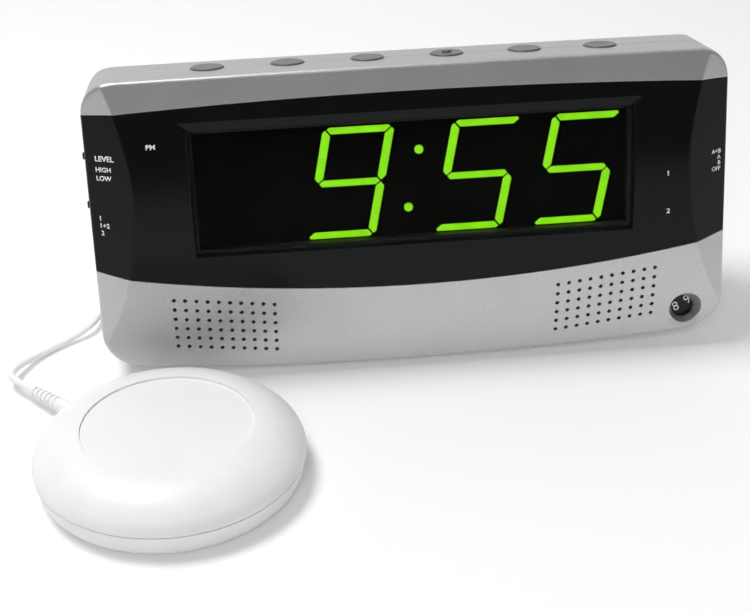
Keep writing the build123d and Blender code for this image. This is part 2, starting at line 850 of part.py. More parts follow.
# Buttons and slide switches.
def local_top(x):
    return top_mid_v - top_end_drop * (x / half_width) ** 2


def top_button(number, x):
    """A round button with a flange under the wall and a stem over its push switch."""
    flange_top = local_top(x) - case_wall - slide_gap
    crown = local_top(x) + button_proud
    up = (0, 1, 0)
    body = rod((x, flange_top, parting_w), up, button_radius, crown - flange_top)
    rim = body.faces().sort_by(Axis.Y)[-1].edges()
    body = fillet(rim, button_edge_radius)
    body = body + rod((x, flange_top - button_flange, parting_w), up, button_flange_radius, button_flange)
    stem_low = button_board_v + tact_height + tact_plunger + button_travel + fit_gap
    body = body + rod((x, stem_low, parting_w), up, button_stem_radius, flange_top - stem_low)
    if number == nib_button:
        nib = rod((x, crown - nib_height, parting_w), up, nib_radius, 2 * nib_height)
        body = body + fillet(nib.faces().sort_by(Axis.Y)[-1].edges(), nib_height / 2)
    if number == dish_button:
        hollow = button_radius * dish_share
        ball = (hollow ** 2 + dish_depth ** 2) / (2 * dish_depth)
        body = body - Pos(x, crown - dish_depth + ball, parting_w) * Sphere(ball)
    return body


def switch_knob(side, rest_v):
    inner = half_width - case_wall - fit_gap - knob_foot
    outer = half_width + knob_proud
    knob = box_between((side * inner, rest_v - knob_height / 2, switch_w - knob_width / 2),
                       (side * outer, rest_v + knob_height / 2, switch_w + knob_width / 2))
    tip = knob.faces().sort_by(Axis.X)[-1 if side > 0 else 0]
    return fillet(tip.edges(), knob_width / 5)


def switch_body(side, rest_v, travel):
    """The body of a slide switch, with a channel for the knob's foot."""
    low = min(rest_v, rest_v + travel) - knob_height / 2
    high = max(rest_v, rest_v + travel) + knob_height / 2
    outer = half_width - case_wall - fit_gap
    body = box_between((side * (outer - switch_depth), low - switch_end, switch_w - switch_width / 2),
                       (side * outer, high + switch_end, switch_w + switch_width / 2))
    half = knob_width / 2 + slide_gap
    channel = box_between((side * (outer - knob_foot - slide_gap), low - slide_gap, switch_w - half),
                          (side * (outer + overrun), high + slide_gap, switch_w + half))
    return body - channel


# Volume control.
def volume_wheel():
    centre = (wheel_x, wheel_v, wheel_front_w - wheel_thickness)
    wheel = rod(centre, (0, 0, 1), wheel_radius, wheel_thickness)
    wheel = wheel - rod(centre, (0, 0, 1), wheel_pin_radius + turn_gap, wheel_thickness)
    notches = []
    for count in range(wheel_grip_count):
        angle = 2 * math.pi * count / wheel_grip_count
        x = wheel_x + wheel_radius * math.cos(angle)
        v = wheel_v + wheel_radius * math.sin(angle)
        start = (x, v, centre[2] - overrun)
        notches.append(rod(start, (0, 0, 1), wheel_grip_depth, wheel_thickness + 2 * overrun))
    return wheel - notches


def volume_control():
    centre = (wheel_x, wheel_v, main_board_front_w)
    body_height = wheel_front_w - wheel_thickness - control_gap - main_board_front_w
    return rod(centre, (0, 0, 1), control_radius, body_height) + rod(
        centre, (0, 0, 1), wheel_pin_radius, wheel_front_w - main_board_front_w)


# Speaker and sounder.
def turned(plane, shares, radius, depth):
    """A body turned about a plane's axis, from shares of its radius and depth."""
    outline = Polyline(*[(radius * across, -depth * down) for across, down in shares], close=True)
    return plane * revolve(Plane.XZ * make_face(outline), Axis.Z)


def speaker_plane():
    return skin_plane(speaker_x, speaker_v, case_wall / 2 + overrun / 2 + seat_depth)


def piezo_sounder():
    plane = skin_plane(piezo_x, piezo_v, case_wall / 2 + overrun / 2 + seat_depth)
    body = extrude(plane * Circle(piezo_radius), -piezo_height)
    return body - extrude(plane * Circle(piezo_radius * piezo_hole_share), -piezo_height / 2)


# Rear shell and what it carries.
def bay_box(low, high):
    """A box in the battery bay's frame: along the wall, up it, and out of it."""
    return rear_plane(bay_x, bay_rise) * box_between(low, high)


door_axis_v = door_axis_up - bay_height / 2


def rear_posts():
    outer = case_volume(0)
    start_w = parting_w - seam_gap
    posts = []
    bores = []
    for x, v in case_screw_spots:
        posts.append(rod((x, v, start_w), (0, 0, -1), case_post_radius, block_depth) & outer)
        bores.append(rod((x, v, start_w - case_floor), (0, 0, -1), case_bore_radius, block_depth))
        start = (x, v, start_w + overrun)
        bores.append(rod(start, (0, 0, -1), case_screw_radius + case_screw_clear, block_depth))
    return posts, bores


def bay_walls():
    half = bay_length / 2 + bay_wall
    up = bay_height / 2 + bay_wall
    walls = bay_box((-half, -up, -bay_depth - bay_wall), (half, up, -case_wall / 2))
    hollow_low = (-bay_length / 2, -bay_height / 2, -bay_depth)
    hollow = bay_box(hollow_low, (bay_length / 2, bay_height / 2, overrun))
    stop_low = (-door_stop_half, bay_height / 2 - door_stop, -door_thickness - door_gap - door_stop)
    stop = bay_box(stop_low, (door_stop_half, bay_height / 2 + bay_wall / 2, -door_thickness - door_gap))
    plane = rear_plane(bay_x, bay_rise)
    pin_half = bay_length / 2 + door_pin_length
    pin_start = (-pin_half, door_axis_v, -door_axis_in)
    pins = plane * rod(pin_start, (1, 0, 0), door_pin_radius + turn_gap, 2 * pin_half)
    return walls, hollow + pins, stop


def foot_spots():
    return [(side * x, y) for x, y in ((foot_front_x, -foot_y), (foot_rear_x, foot_y)) for side in (-1, 1)]


def rear_shell():
    shell = case_volume(0) & slab(-block_depth, parting_w - seam_gap)
    shell = shell - case_volume(case_wall)
    tongue = (case_volume(case_wall / 2 + fit_gap) - case_volume(case_wall))
    shell = shell + (tongue & slab(parting_w - 2 * tongue_length, parting_w + tongue_length))
    posts, bores = rear_posts()
    walls, hollow, stop = bay_walls()
    shell = shell + posts + walls - bores - hollow + stop
    for x, nose in ((shaker_jack_x, shaker_nose_radius), (power_jack_x, power_nose_radius)):
        plane = rear_plane(x, jack_rise)
        shell = shell - plane * Cylinder(nose + fit_gap, 4 * case_wall)
    for count in range(vent_count):
        x = (count - (vent_count - 1) / 2) * vent_pitch
        slot = extrude(SlotOverall(vent_height, vent_width, rotation=90), 2 * case_wall, both=True)
        shell = shell - rear_plane(x, vent_rise) * slot
    sockets = []
    for x, y in foot_spots():
        sockets.append(Pos(x, y, 0) * extrude(Circle(foot_radius + fit_gap), foot_height + foot_recess))
    to_face = face_plane.location.inverse()
    return shell - [to_face * socket for socket in sockets] - button_holes()


def battery_door():
    """The door over the battery bay, with its barrel and two end pins along the low edge."""
    half = bay_length / 2 - door_gap
    plate = bay_box((-half, door_axis_v, -door_thickness), (half, bay_height / 2 - door_gap, 0))
    plane = rear_plane(bay_x, bay_rise)
    axis_point = (-half, door_axis_v, -door_axis_in)
    barrel = plane * rod(axis_point, (1, 0, 0), door_barrel_radius, 2 * half)
    pin_half = bay_length / 2 + door_pin_length - turn_gap
    pin = plane * rod((-pin_half, door_axis_v, -door_axis_in), (1, 0, 0), door_pin_radius, 2 * pin_half)
    recess_v = bay_height / 2 - door_gap - 2 * door_recess_height
    recess = bay_box((-door_recess_length / 2, recess_v, -door_recess),
                     (door_recess_length / 2, recess_v + door_recess_height, overrun))
    door = plate + barrel + pin - recess
    for count in range(door_rib_count):
        low = recess_v + door_recess_height * (count + 1) / (door_rib_count + 1) - door_rib / 2
        rib_low = (-door_recess_length / 2, low, -door_recess)
        door = door + bay_box(rib_low, (door_recess_length / 2, low + door_rib, 0))
    return door


def battery_low():
    """The low corner of the battery in its bay."""
    return Vector(slide_gap - bay_length / 2, slide_gap - bay_height / 2, slide_gap - bay_depth)


def backup_battery():
    low = battery_low()
    cell = box_between(low, low + Vector(battery_length, battery_width, battery_thick))
    cell = fillet(cell.edges().filter_by(Axis.X), battery_edge)
    battery = cell
    for side in (-1, 1):
        spot = low + Vector(battery_length, battery_width / 2 + side * terminal_spread, battery_thick / 2)
        battery = battery + rod(spot, (1, 0, 0), terminal_radius, terminal_height)
    return rear_plane(bay_x, bay_rise) * battery


def battery_snap():
    low = battery_low() + Vector(battery_length + turn_gap, 0, battery_thick / 2 - terminal_radius - overrun)
    size = Vector(snap_thickness, battery_width, 2 * (terminal_radius + overrun))
    snap = box_between(low, low + size)
    for side in (-1, 1):
        spot = low + Vector(-overrun, battery_width / 2 + side * terminal_spread, terminal_radius + overrun)
        snap = snap - rod(spot, (1, 0, 0), terminal_radius + turn_gap, terminal_height + overrun + turn_gap)
    return rear_plane(bay_x, bay_rise) * snap


def socket_body(x, nose_radius, body_radius, depth, bore_radius, bore_depth):
    """A round socket through the rear wall."""
    plane = rear_plane(x, jack_rise)
    nose = plane * rod((0, 0, -case_wall - overrun), (0, 0, 1), nose_radius, case_wall + overrun + jack_proud)
    body = plane * rod((0, 0, -case_wall), (0, 0, -1), body_radius, depth)
    bore = plane * rod((0, 0, jack_proud), (0, 0, -1), bore_radius, bore_depth)
    return nose + body - bore


def power_jack():
    body = socket_body(power_jack_x, power_nose_radius, power_jack_radius, power_jack_depth,
                       power_bore_radius, power_bore_depth)
    base = (0, 0, jack_proud - power_bore_depth - overrun / 2)
    pin = rear_plane(power_jack_x, jack_rise) * rod(base, (0, 0, 1), power_pin_radius, power_bore_depth)
    return body + pin


def socket_nut(x, nose_radius, nut_radius):
    plane = rear_plane(x, jack_rise)
    nut = RegularPolygon(nut_radius, 6) - Circle(nose_radius + turn_gap)
    return extrude(plane * nut, nut_thickness)


def case_screws():
    screws = []
    for x, v in case_screw_spots:
        floor_w = parting_w - seam_gap - case_floor
        head_radius = case_bore_radius - slide_gap
        size = (case_screw_radius - turn_gap, case_screw_length, head_radius, screw_head_height)
        screws.append(screw((x, v, floor_w), (0, 0, 1), *size))
    return screws


def rubber_feet():
    feet = []
    for x, y in foot_spots():
        foot = Pos(x, y, 0) * extrude(Circle(foot_radius), foot_height + foot_recess)
        feet.append(fillet(foot.edges().sort_by(Axis.Z)[0], foot_edge_radius))
    return feet


# Bed shaker, built about its own centre and then moved to its place.
def shaker_dome(inset):
    """The domed upper half, as a face in the plane of its radius and height."""
    centre = (shaker_radius - shaker_rim_arc, shaker_parting_z)
    rim = CenterArc(centre, shaker_rim_arc - inset, 0, shaker_rim_deg)
    crown = TangentArc(rim @ 1, (label_radius + label_lip, shaker_height - inset), tangent=rim % 1)
    top = Line(crown @ 1, (0, shaker_height - inset))
    axis = Line(top @ 1, (0, shaker_parting_z))
    return revolve(Plane.XZ * make_face([rim, crown, top, axis, Line(axis @ 1, rim @ 0)]), Axis.Z)


def shaker_base(inset):
    """The lower half: a slightly drafted side that rounds into the flat underside."""
    high_z = shaker_parting_z - shaker_seam
    side = Line((shaker_radius - inset, high_z), (shaker_radius - shaker_draft - inset, shaker_side_z))
    turn = TangentArc(side @ 1, (shaker_base_radius - inset, inset), tangent=side % 1)
    under = Line(turn @ 1, (0, inset))
    axis = Line(under @ 1, (0, high_z))
    return revolve(Plane.XZ * make_face([side, turn, under, axis, Line(axis @ 1, side @ 0)]), Axis.Z)


def shaker_screw_points():
    turns = [0.25 + count / shaker_screw_count for count in range(shaker_screw_count)]
    radius = shaker_screw_circle
    angles = [2 * math.pi * turn for turn in turns]
    return [(radius * math.cos(angle), radius * math.sin(angle)) for angle in angles]


def relief_rod(start, radius, length):
    """A rod along the strain relief, from a distance out of the shaker's centre."""
    out = Vector(math.cos(relief_radians), math.sin(relief_radians), 0)
    return rod(out * start + Vector(0, 0, relief_z), out, radius, length)


shaker_ceiling = shaker_height - label_recess - shaker_wall
shaker_seat_z = shaker_head_height + shaker_wall


def shaker_top_shell():
    recess = Pos(0, 0, shaker_height - label_recess) * extrude(Circle(label_radius), 2 * label_recess)
    shell = shaker_dome(0) - recess
    ceiling = extrude(Circle(shaker_radius), shaker_ceiling)
    shell = shell - (shaker_dome(shaker_wall) & ceiling)
    below = extrude(Circle(shaker_radius - shaker_wall), shaker_parting_z + overrun)
    room = shaker_dome(shaker_wall / 2) + below
    up = (0, 0, 1)
    for x, y in shaker_screw_points():
        boss = rod((x, y, shaker_seat_z + fit_gap), up, shaker_boss_radius, shaker_height)
        shell = shell + (boss & room)
        shell = shell - rod((x, y, 0), up, shaker_screw_radius, shaker_seat_z + shaker_screw_length)
    return shell


def shaker_collar():
    """The ring that stands up from the lower half into the upper one, and its step on the wall."""
    inner_radius = shaker_radius - 2 * shaker_wall + slide_gap
    low = Pos(0, 0, shaker_parting_z - shaker_seam - shaker_wall)
    ring = extrude(Circle(shaker_radius - shaker_wall - slide_gap) - Circle(inner_radius),
                   shaker_wall + shaker_seam + collar_height)
    step = extrude(Circle(shaker_radius - shaker_wall / 2) - Circle(inner_radius), shaker_wall)
    return low * (ring + step)


def shaker_bottom_shell():
    shell = shaker_base(0) - shaker_base(shaker_wall) + shaker_collar()
    up = (0, 0, 1)
    floor_z = shaker_wall / 2
    for x, y in shaker_screw_points():
        shell = shell + rod((x, y, floor_z), up, shaker_boss_radius + overrun, shaker_seat_z - floor_z)
        shell = shell - rod((x, y, 0), up, shaker_head_radius + fit_gap, shaker_head_height + 2 * fit_gap)
        shell = shell - rod((x, y, 0), up, shaker_screw_radius + slide_gap, shaker_height)
    motor = rod((-shaker_radius, 0, motor_z), (1, 0, 0), motor_radius + turn_gap, 2 * shaker_radius)
    for place in cradle_places:
        x = motor_shift + place * motor_length
        rib = box_between((x - cradle_wall / 2, -motor_radius, shaker_wall / 2),
                          (x + cradle_wall / 2, motor_radius, motor_z * cradle_height_share))
        shell = shell + (rib - motor)
    for side in (-1, 1):
        y = side * strap_screw_y
        shell = shell + rod((motor_shift, y, floor_z), up, strap_boss_radius, strap_seat_z - floor_z)
        shell = shell - rod((motor_shift, y, shaker_wall), up, strap_screw_radius + turn_gap, strap_seat_z)
    hole = relief_rod(shaker_radius - 3 * shaker_wall, relief_root_radius + turn_gap, 4 * shaker_wall)
    pocket_start = shaker_radius - 2 * shaker_wall - overrun - 2 * fit_gap
    pocket_radius = relief_root_radius + relief_collar + fit_gap
    return shell - hole - relief_rod(pocket_start, pocket_radius, overrun + 4 * fit_gap)


def shaker_label():
    disc = extrude(Circle(label_radius - slide_gap), label_thickness)
    return Pos(0, 0, shaker_height - label_recess) * disc


strap_screw_y = motor_radius + strap_thickness + strap_foot / 2
strap_seat_z = motor_z * 0.6


def shaker_motor():
    rear_x = motor_shift - motor_length / 2
    front_x = motor_shift + motor_length / 2
    motor = rod((rear_x, 0, motor_z), (1, 0, 0), motor_radius, motor_length)
    motor = fillet(motor.edges().filter_by(GeomType.CIRCLE), motor_edge)
    nose = rod((front_x - overrun, 0, motor_z), (1, 0, 0), 2 * shaft_radius, 2 * overrun)
    bore = rod((front_x - shaft_inside, 0, motor_z), (1, 0, 0), shaft_radius + turn_gap, shaft_length)
    return motor + nose - bore


def motor_shaft():
    start_x = motor_shift + motor_length / 2 - shaft_inside + fit_gap
    return rod((start_x, 0, motor_z), (1, 0, 0), shaft_radius, shaft_length + shaft_inside)


def eccentric_weight():
    """A half disc on the motor's shaft, its heavy side down."""
    start_x = motor_shift + motor_length / 2 + overrun + weight_gap
    hub = rod((start_x, 0, motor_z), (1, 0, 0), 2 * shaft_radius, weight_length)
    disc = rod((start_x, 0, motor_z), (1, 0, 0), weight_radius, weight_length)
    low = box_between((start_x, -weight_radius, motor_z - weight_radius),
                      (start_x + weight_length, weight_radius, motor_z))
    weight = (disc & low) + hub
    return weight - rod((start_x, 0, motor_z), (1, 0, 0), shaft_radius, weight_length)


def motor_bracket():
    """A steel strap over the motor, with a screwed foot on each side."""
    low_x = motor_shift - strap_width / 2
    high_x = low_x + strap_width
    inner_y = motor_radius + turn_gap
    outer_y = inner_y + strap_thickness
    outer = rod((low_x, 0, motor_z), (1, 0, 0), outer_y, strap_width)
    inner = rod((low_x, 0, motor_z), (1, 0, 0), inner_y, strap_width)
    legs = box_between((low_x, -outer_y, strap_seat_z), (high_x, outer_y, motor_z))
    gap = box_between((low_x, -inner_y, 0), (high_x, inner_y, motor_z))
    above = box_between((low_x, -outer_y, motor_z), (high_x, outer_y, motor_z + 2 * motor_radius))
    end_y = outer_y + strap_foot
    feet = box_between((low_x, -end_y, strap_seat_z), (high_x, end_y, strap_seat_z + strap_thickness))
    strap = (outer & above) + legs + feet - inner - gap
    for side in (-1, 1):
        spot = (motor_shift, side * strap_screw_y, 0)
        strap = strap - rod(spot, (0, 0, 1), strap_screw_radius + fit_gap, shaker_height)
    return strap


def strap_screws():
    top_z = strap_seat_z + strap_thickness
    length = top_z - shaker_wall - fit_gap
    size = (strap_screw_radius, length, 2 * strap_screw_radius, strap_screw_radius)
    return [screw((motor_shift, side * strap_screw_y, top_z), (0, 0, -1), *size) for side in (-1, 1)]


def shaker_screws():
    size = (shaker_screw_radius - turn_gap, shaker_screw_length, shaker_head_radius, shaker_head_height)
    head_z = shaker_head_height + 2 * fit_gap
    return [screw((x, y, head_z), (0, 0, 1), *size) for x, y in shaker_screw_points()]


def strain_relief():
    """A tapered sleeve with ribs toward its tip and a collar inside the shell."""
    start = shaker_radius - 2 * shaker_wall
    root = relief_rod(start, relief_root_radius, 2 * shaker_wall + relief_root_length)
    taper_start = shaker_radius + relief_root_length
    taper_length = relief_length - relief_root_length
    out = Vector(math.cos(relief_radians), math.sin(relief_radians), 0)
    foot_plane = Plane(origin=out * taper_start + Vector(0, 0, relief_z), z_dir=out)
    tip_plane = Plane(origin=out * relief_tip_reach + Vector(0, 0, relief_z), z_dir=out)
    taper = loft([foot_plane * Circle(relief_root_radius), tip_plane * Circle(relief_tip_radius)])
    relief = root + taper
    drop = (relief_root_radius - relief_tip_radius) / taper_length
    for count in range(relief_ribs):
        place = relief_rib_start + count * relief_rib_pitch
        radius = relief_root_radius - drop * (place - relief_root_length) - relief_rib_depth
        ring = relief_rod(shaker_radius + place, 2 * relief_root_radius, relief_rib_width)
        relief = relief - (ring - relief_rod(shaker_radius + place, radius, relief_rib_width))
    return relief + relief_rod(start - overrun, relief_root_radius + relief_collar, overrun)


# Cord.
def cord_tube(points, name):
    """A tube along straight runs with an arc at each point between them."""
    spots = [Vector(*point) for point in points]
    radii = []
    for before, here, after in zip(spots, spots[1:], spots[2:]):
        turn = math.radians((here - before).get_angle(after - here))
        run = min((here - before).length, (after - here).length)
        radii.append(arc_share * run / math.tan(turn / 2))
    path = FilletPolyline(*spots, radius=radii)
    tube = sweep(Plane(origin=path @ 0, z_dir=path % 0) * Circle(cord_radius), path=path)
    section = math.pi * cord_radius ** 2
    print(name, "length", round(path.length, 1), "radii", [round(radius, 1) for radius in radii],
          "volume over section times length", round(tube.volume / (section * path.length), 4))
    return tube


def coil_node(turns):
    """A point and a direction of the coil: it spirals in and out, and climbs a layer at each reversal."""
    layer = min(int(turns / turns_per_layer), layer_count - 1)
    along = turns - layer * turns_per_layer
    reach_in = coil_mid_radius - turn_pitch * turns_per_layer / 2
    reach_out = coil_mid_radius + turn_pitch * turns_per_layer / 2
    radius = reach_in + turn_pitch * along if layer % 2 else reach_out - turn_pitch * along
    grow = turn_pitch if layer % 2 else -turn_pitch
    height = cord_radius + layer * layer_pitch
    climb = 0.0
    past = turns - round(turns / turns_per_layer) * turns_per_layer
    at_middle = abs(past) < coil_step / 4
    inside = 0 < round(turns / turns_per_layer) < layer_count
    if at_middle and inside:
        height = height - layer_pitch / 2
        grow = 0.0
        climb = layer_pitch / coil_step
    if turns == 0 or turns == coil_turns:
        grow = 0.0
    angle = 2 * math.pi * turns - math.pi / 2
    outward = Vector(math.cos(angle), math.sin(angle), 0)
    onward = Vector(-math.sin(angle), math.cos(angle), 0)
    point = Vector(coil_x, coil_y, height) + outward * radius
    direction = outward * grow + onward * (2 * math.pi * radius) + Vector(0, 0, climb)
    return point, direction.normalized()


def two_arcs(start, start_way, end, end_way):
    """The pair of arcs that joins two points along their directions."""
    chord = end - start
    ways = start_way + end_way
    square = 2 - 2 * start_way.dot(end_way)
    linear = chord.dot(ways)
    reach_each = (math.sqrt(linear ** 2 + square * chord.dot(chord)) - linear) / square
    first_corner = start + start_way * reach_each
    last_corner = end - end_way * reach_each
    middle = (first_corner + last_corner) * 0.5
    along = last_corner - first_corner
    return [TangentArc(start, middle, tangent=start_way), TangentArc(middle, end, tangent=along)]


def cord_coil():
    """The put-away length: one tube wound in four layers, with a straight lead at each end."""
    nodes = [coil_node(count * coil_step) for count in range(round(coil_turns / coil_step) + 1)]
    first, first_way = nodes[0]
    last, last_way = nodes[-1]
    edges = [Line(first - first_way * coil_lead, first)]
    for (start, start_way), (end, end_way) in zip(nodes, nodes[1:]):
        edges += two_arcs(start, start_way, end, end_way)
    edges.append(Line(last, last + last_way * coil_lead))
    path = Wire([edge.edge() for edge in edges])
    foot = Plane(origin=first - first_way * coil_lead, z_dir=first_way)
    tube = sweep(foot * Circle(cord_radius), path=path)
    length = sum(edge.length for edge in edges)
    section = math.pi * cord_radius ** 2
    print("cord_coil length", round(length, 1), "volume over section times length",
          round(tube.volume / (section * length), 4), "least gap", round(coil_gap(edges), 3))
    return tube, first - first_way * coil_lead, last + last_way * coil_lead


def coil_gap(edges):
    """The least gap of the coil to itself, measured between points along it."""
    spots = []
    travelled = 0.0
    for edge in edges:
        for count in range(coil_samples):
            share = count / coil_samples
            spot = edge @ share
            spots.append((spot.X, spot.Y, spot.Z, travelled + share * edge.length))
        travelled += edge.length
    least = reach
    far_enough = 4 * math.pi * cord_radius
    near = turn_pitch + overrun
    for index, (x, y, z, place) in enumerate(spots):
        for other_x, other_y, other_z, other_place in spots[index + 1:]:
            if other_place - place > far_enough and abs(other_x - x) < near and abs(other_y - y) < near:
                gap = math.sqrt((other_x - x) ** 2 + (other_y - y) ** 2 + (other_z - z) ** 2)
                least = min(least, gap)
    return least - 2 * cord_radius


def plug_point(out):
    """A point on the plug's axis, a distance out of the rear wall."""
    plane = face_plane.location * rear_plane(shaker_jack_x, jack_rise).location
    return (plane * Pos(0, 0, out)).position


def shaker_plug():
    plane = rear_plane(shaker_jack_x, jack_rise)
    body = plane * rod((0, 0, jack_proud), (0, 0, 1), plug_radius, plug_length)
    ends = body.edges().filter_by(GeomType.CIRCLE)
    body = fillet(ends, plug_edge_radius)
    tip_start = (0, 0, jack_proud - plug_tip_length)
    tip = plane * rod(tip_start, (0, 0, 1), plug_tip_radius, plug_tip_length + overrun)
    foot = plane * Pos(0, 0, jack_proud + plug_length - overrun / 2) * Circle(plug_radius * plug_foot_share)
    end = plane * Pos(0, 0, plug_end) * Circle(cord_radius + plug_relief_wall)
    return body + tip + loft([foot, end])


plug_end = jack_proud + plug_length + plug_relief_length


def cord_routes(coil_start, coil_end):
    """The two free stretches, by points chosen along the way that the cord lies."""
    out = Vector(math.cos(relief_radians), math.sin(relief_radians), 0)
    relief_tip = Vector(shaker_x, shaker_y, relief_z) + out * relief_tip_reach
    visible = [relief_tip, relief_tip + out * 2 * turn_pitch]
    visible += [(-146.9, -30.9, 5.1), (-144.6, -22.9, 4.0), (-139.3, -14.2, 2.0), (-131.9, -6.5, 1.4)]
    visible += [(-123.6, -0.9, 2.8), (-117.6, 5.2, 4.4), (-115.6, 15.8, 3.6), (-112.8, 28.0, 1.8)]
    visible += [(-104.4, 38.6, 1.3), (-89.6, 46.0, 1.4), (-70.4, 50.4, 1.3)]
    visible += [(-48.0, coil_start.Y, coil_start.Z), coil_start]
    tail = [coil_end, (-33.0, coil_end.Y, coil_end.Z), (-43.0, coil_end.Y - 0.3, 6.6)]
    tail += [(-52.5, 93.2, 1.9), (-62.8, 91.6, 1.5), (-71.6, 88.2, 5.6), (-77.2, 84.4, 14.5)]
    tail += [(-79.6, 80.6, 24.5), (-80.0, 74.8, 32.4)]
    tail += [plug_point(plug_end + 3 * turn_pitch), plug_point(plug_end)]
    return visible, tail


# Write every piece.
def add(name, shape, place=None):
    solids = shape if isinstance(shape, list) else [shape]
    moved = [place * solid for solid in solids] if place else solids
    parts[name] = Compound(children=moved) if len(moved) > 1 else moved[0]


def build_clock():
    place = face_plane.location
    lit, unlit = display_segments()
    speaker = speaker_plane()
    pieces = {
        "front_shell": front_shell(), "face_band": face_band(), "display_lens": display_lens(),
        "display_bezel": display_bezel(), "display_module": display_module(), "lit_segments": lit,
        "unlit_segments": unlit, "main_board": main_board(), "board_chips": board_chips(),
        "board_capacitors": board_capacitors(), "button_board": button_board(),
        "tact_switches": tact_switches(), "board_screws": board_screws(),
        "left_switch_board": side_board(-1, left_board_low, left_board_high),
        "right_switch_board": side_board(1, right_board_low, right_board_high),
        "volume_wheel": volume_wheel(), "volume_control": volume_control(),
        "speaker_frame": turned(speaker, speaker_frame_shares, speaker_radius, speaker_depth),
        "speaker_cone": turned(speaker, speaker_cone_shares, speaker_radius, speaker_depth),
        "piezo_sounder": piezo_sounder(), "rear_shell": rear_shell(), "battery_door": battery_door(),
        "backup_battery": backup_battery(), "battery_snap": battery_snap(), "case_screws": case_screws(),
        "power_jack": power_jack(),
        "power_jack_nut": socket_nut(power_jack_x, power_nose_radius, power_nut_radius),
        "shaker_jack": socket_body(shaker_jack_x, shaker_nose_radius, shaker_jack_radius,
                                   shaker_jack_depth, shaker_bore_radius, plug_tip_length + overrun),
        "shaker_jack_nut": socket_nut(shaker_jack_x, shaker_nose_radius, shaker_nut_radius),
        "shaker_plug": shaker_plug(),
    }
    for number, x in enumerate(button_xs):
        pieces["top_button_" + str(number + 1)] = top_button(number, x)
    for name, (side, rest_v, travel) in switches.items():
        pieces[name + "_switch"] = switch_body(side, rest_v, travel)
        pieces[name + "_switch_knob"] = switch_knob(side, rest_v)
    for name, shape in pieces.items():
        add(name, shape, place)
    add("rubber_feet", rubber_feet())


def build_shaker():
    place = Pos(shaker_x, shaker_y, 0)
    pieces = {
        "shaker_top_shell": shaker_top_shell(), "shaker_bottom_shell": shaker_bottom_shell(),
        "shaker_label": shaker_label(), "shaker_motor": shaker_motor(), "motor_shaft": motor_shaft(),
        "eccentric_weight": eccentric_weight(), "motor_bracket": motor_bracket(),
        "strap_screws": strap_screws(), "shaker_screws": shaker_screws(), "strain_relief": strain_relief(),
    }
    for name, shape in pieces.items():
        add(name, shape, place)


def build_cord():
    coil, coil_start, coil_end = cord_coil()
    visible, tail = cord_routes(coil_start, coil_end)
    add("cord_coil", coil)
    add("shaker_cord", cord_tube(visible, "shaker_cord"))
    add("cord_tail", cord_tube(tail, "cord_tail"))


build_clock()
build_shaker()
build_cord()
os.makedirs("parts", exist_ok=True)
for node, shape in parts.items():
    export_step(shape, "parts/" + node + ".step")
spots = {
    "wheel axis": Pos(wheel_x, wheel_v, wheel_front_w),
    "door axis": rear_plane(bay_x, bay_rise).location * Pos(0, door_axis_v, -door_axis_in),
    "power socket mouth": rear_plane(power_jack_x, jack_rise).location * Pos(0, 0, jack_proud),
}
for label, place in spots.items():
    point = (face_plane.location * place).position
    print(label, [round(value, 3) for value in point])
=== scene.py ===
import json
import math

import bpy
from mathutils import Matrix, Vector


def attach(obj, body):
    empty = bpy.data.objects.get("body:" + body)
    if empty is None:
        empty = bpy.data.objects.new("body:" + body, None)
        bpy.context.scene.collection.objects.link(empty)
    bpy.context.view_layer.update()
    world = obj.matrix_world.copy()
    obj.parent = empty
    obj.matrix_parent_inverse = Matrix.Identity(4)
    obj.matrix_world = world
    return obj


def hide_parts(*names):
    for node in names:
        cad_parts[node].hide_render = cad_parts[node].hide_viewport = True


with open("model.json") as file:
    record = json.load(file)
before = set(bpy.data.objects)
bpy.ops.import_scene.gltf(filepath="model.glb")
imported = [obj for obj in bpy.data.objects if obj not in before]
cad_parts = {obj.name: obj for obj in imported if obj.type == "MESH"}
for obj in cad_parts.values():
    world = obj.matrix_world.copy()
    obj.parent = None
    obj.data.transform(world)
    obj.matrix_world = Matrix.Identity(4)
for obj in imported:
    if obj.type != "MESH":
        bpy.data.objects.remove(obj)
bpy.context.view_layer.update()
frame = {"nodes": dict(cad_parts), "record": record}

# Sizes, in metres unless a name says otherwise.
MM = 0.001
IMAGE_WIDTH_PX = 750
SENSOR_MM = 36.0
FOCAL_PX = 1599.7
CAMERA_PLACE_MM = (-59.1, -524.9, 313.7)
CAMERA_PITCH = 0.529304
CAMERA_YAW = 0.089986
CAMERA_ROLL = -0.0244855
CLIP_START_M = 0.01
CLIP_END_M = 20.0

LEAN = math.radians(11.4)
FACE_ORIGIN_Y_MM = -49.0
DOME_RADIUS_MM = 178.0
DOME_APEX_V_MM = 73.7
FACET_START_X_MM = 95.9
FACET_SLOPE_SHARE = 0.554
PRINT_LIFT_MM = 0.04
PRINT_THICK_MM = 0.05
LETTER_STEPS = 4
LEGEND_BOLD = 0.022
LEGEND_STRETCH = 1.12

SHAKER_X_MM = -88.5
SHAKER_Y_MM = -92.5
RELIEF_DEG = 134.0
RELIEF_Z_MM = 5.0
RELIEF_REACH_MM = 70.7
RELIEF_LEAD_MM = 6.2
CORD_DIAMETER_MM = 2.6
COIL_X_MM = -22.0
COIL_Y_MM = 74.0
COIL_MID_RADIUS_MM = 15.25
COIL_PITCH_MM = 3.1
COIL_TURNS = 15.5
TURNS_PER_LAYER = 4
LAYER_COUNT = 4
REVERSAL_TURNS = 0.5
POINTS_PER_TURN = 16
COIL_LEAD_MM = 3.0
PLUG_MOUTH_MM = (-80.0, 57.2, 33.5)
CORD_STEPS = 6
CORD_ORDER = 3

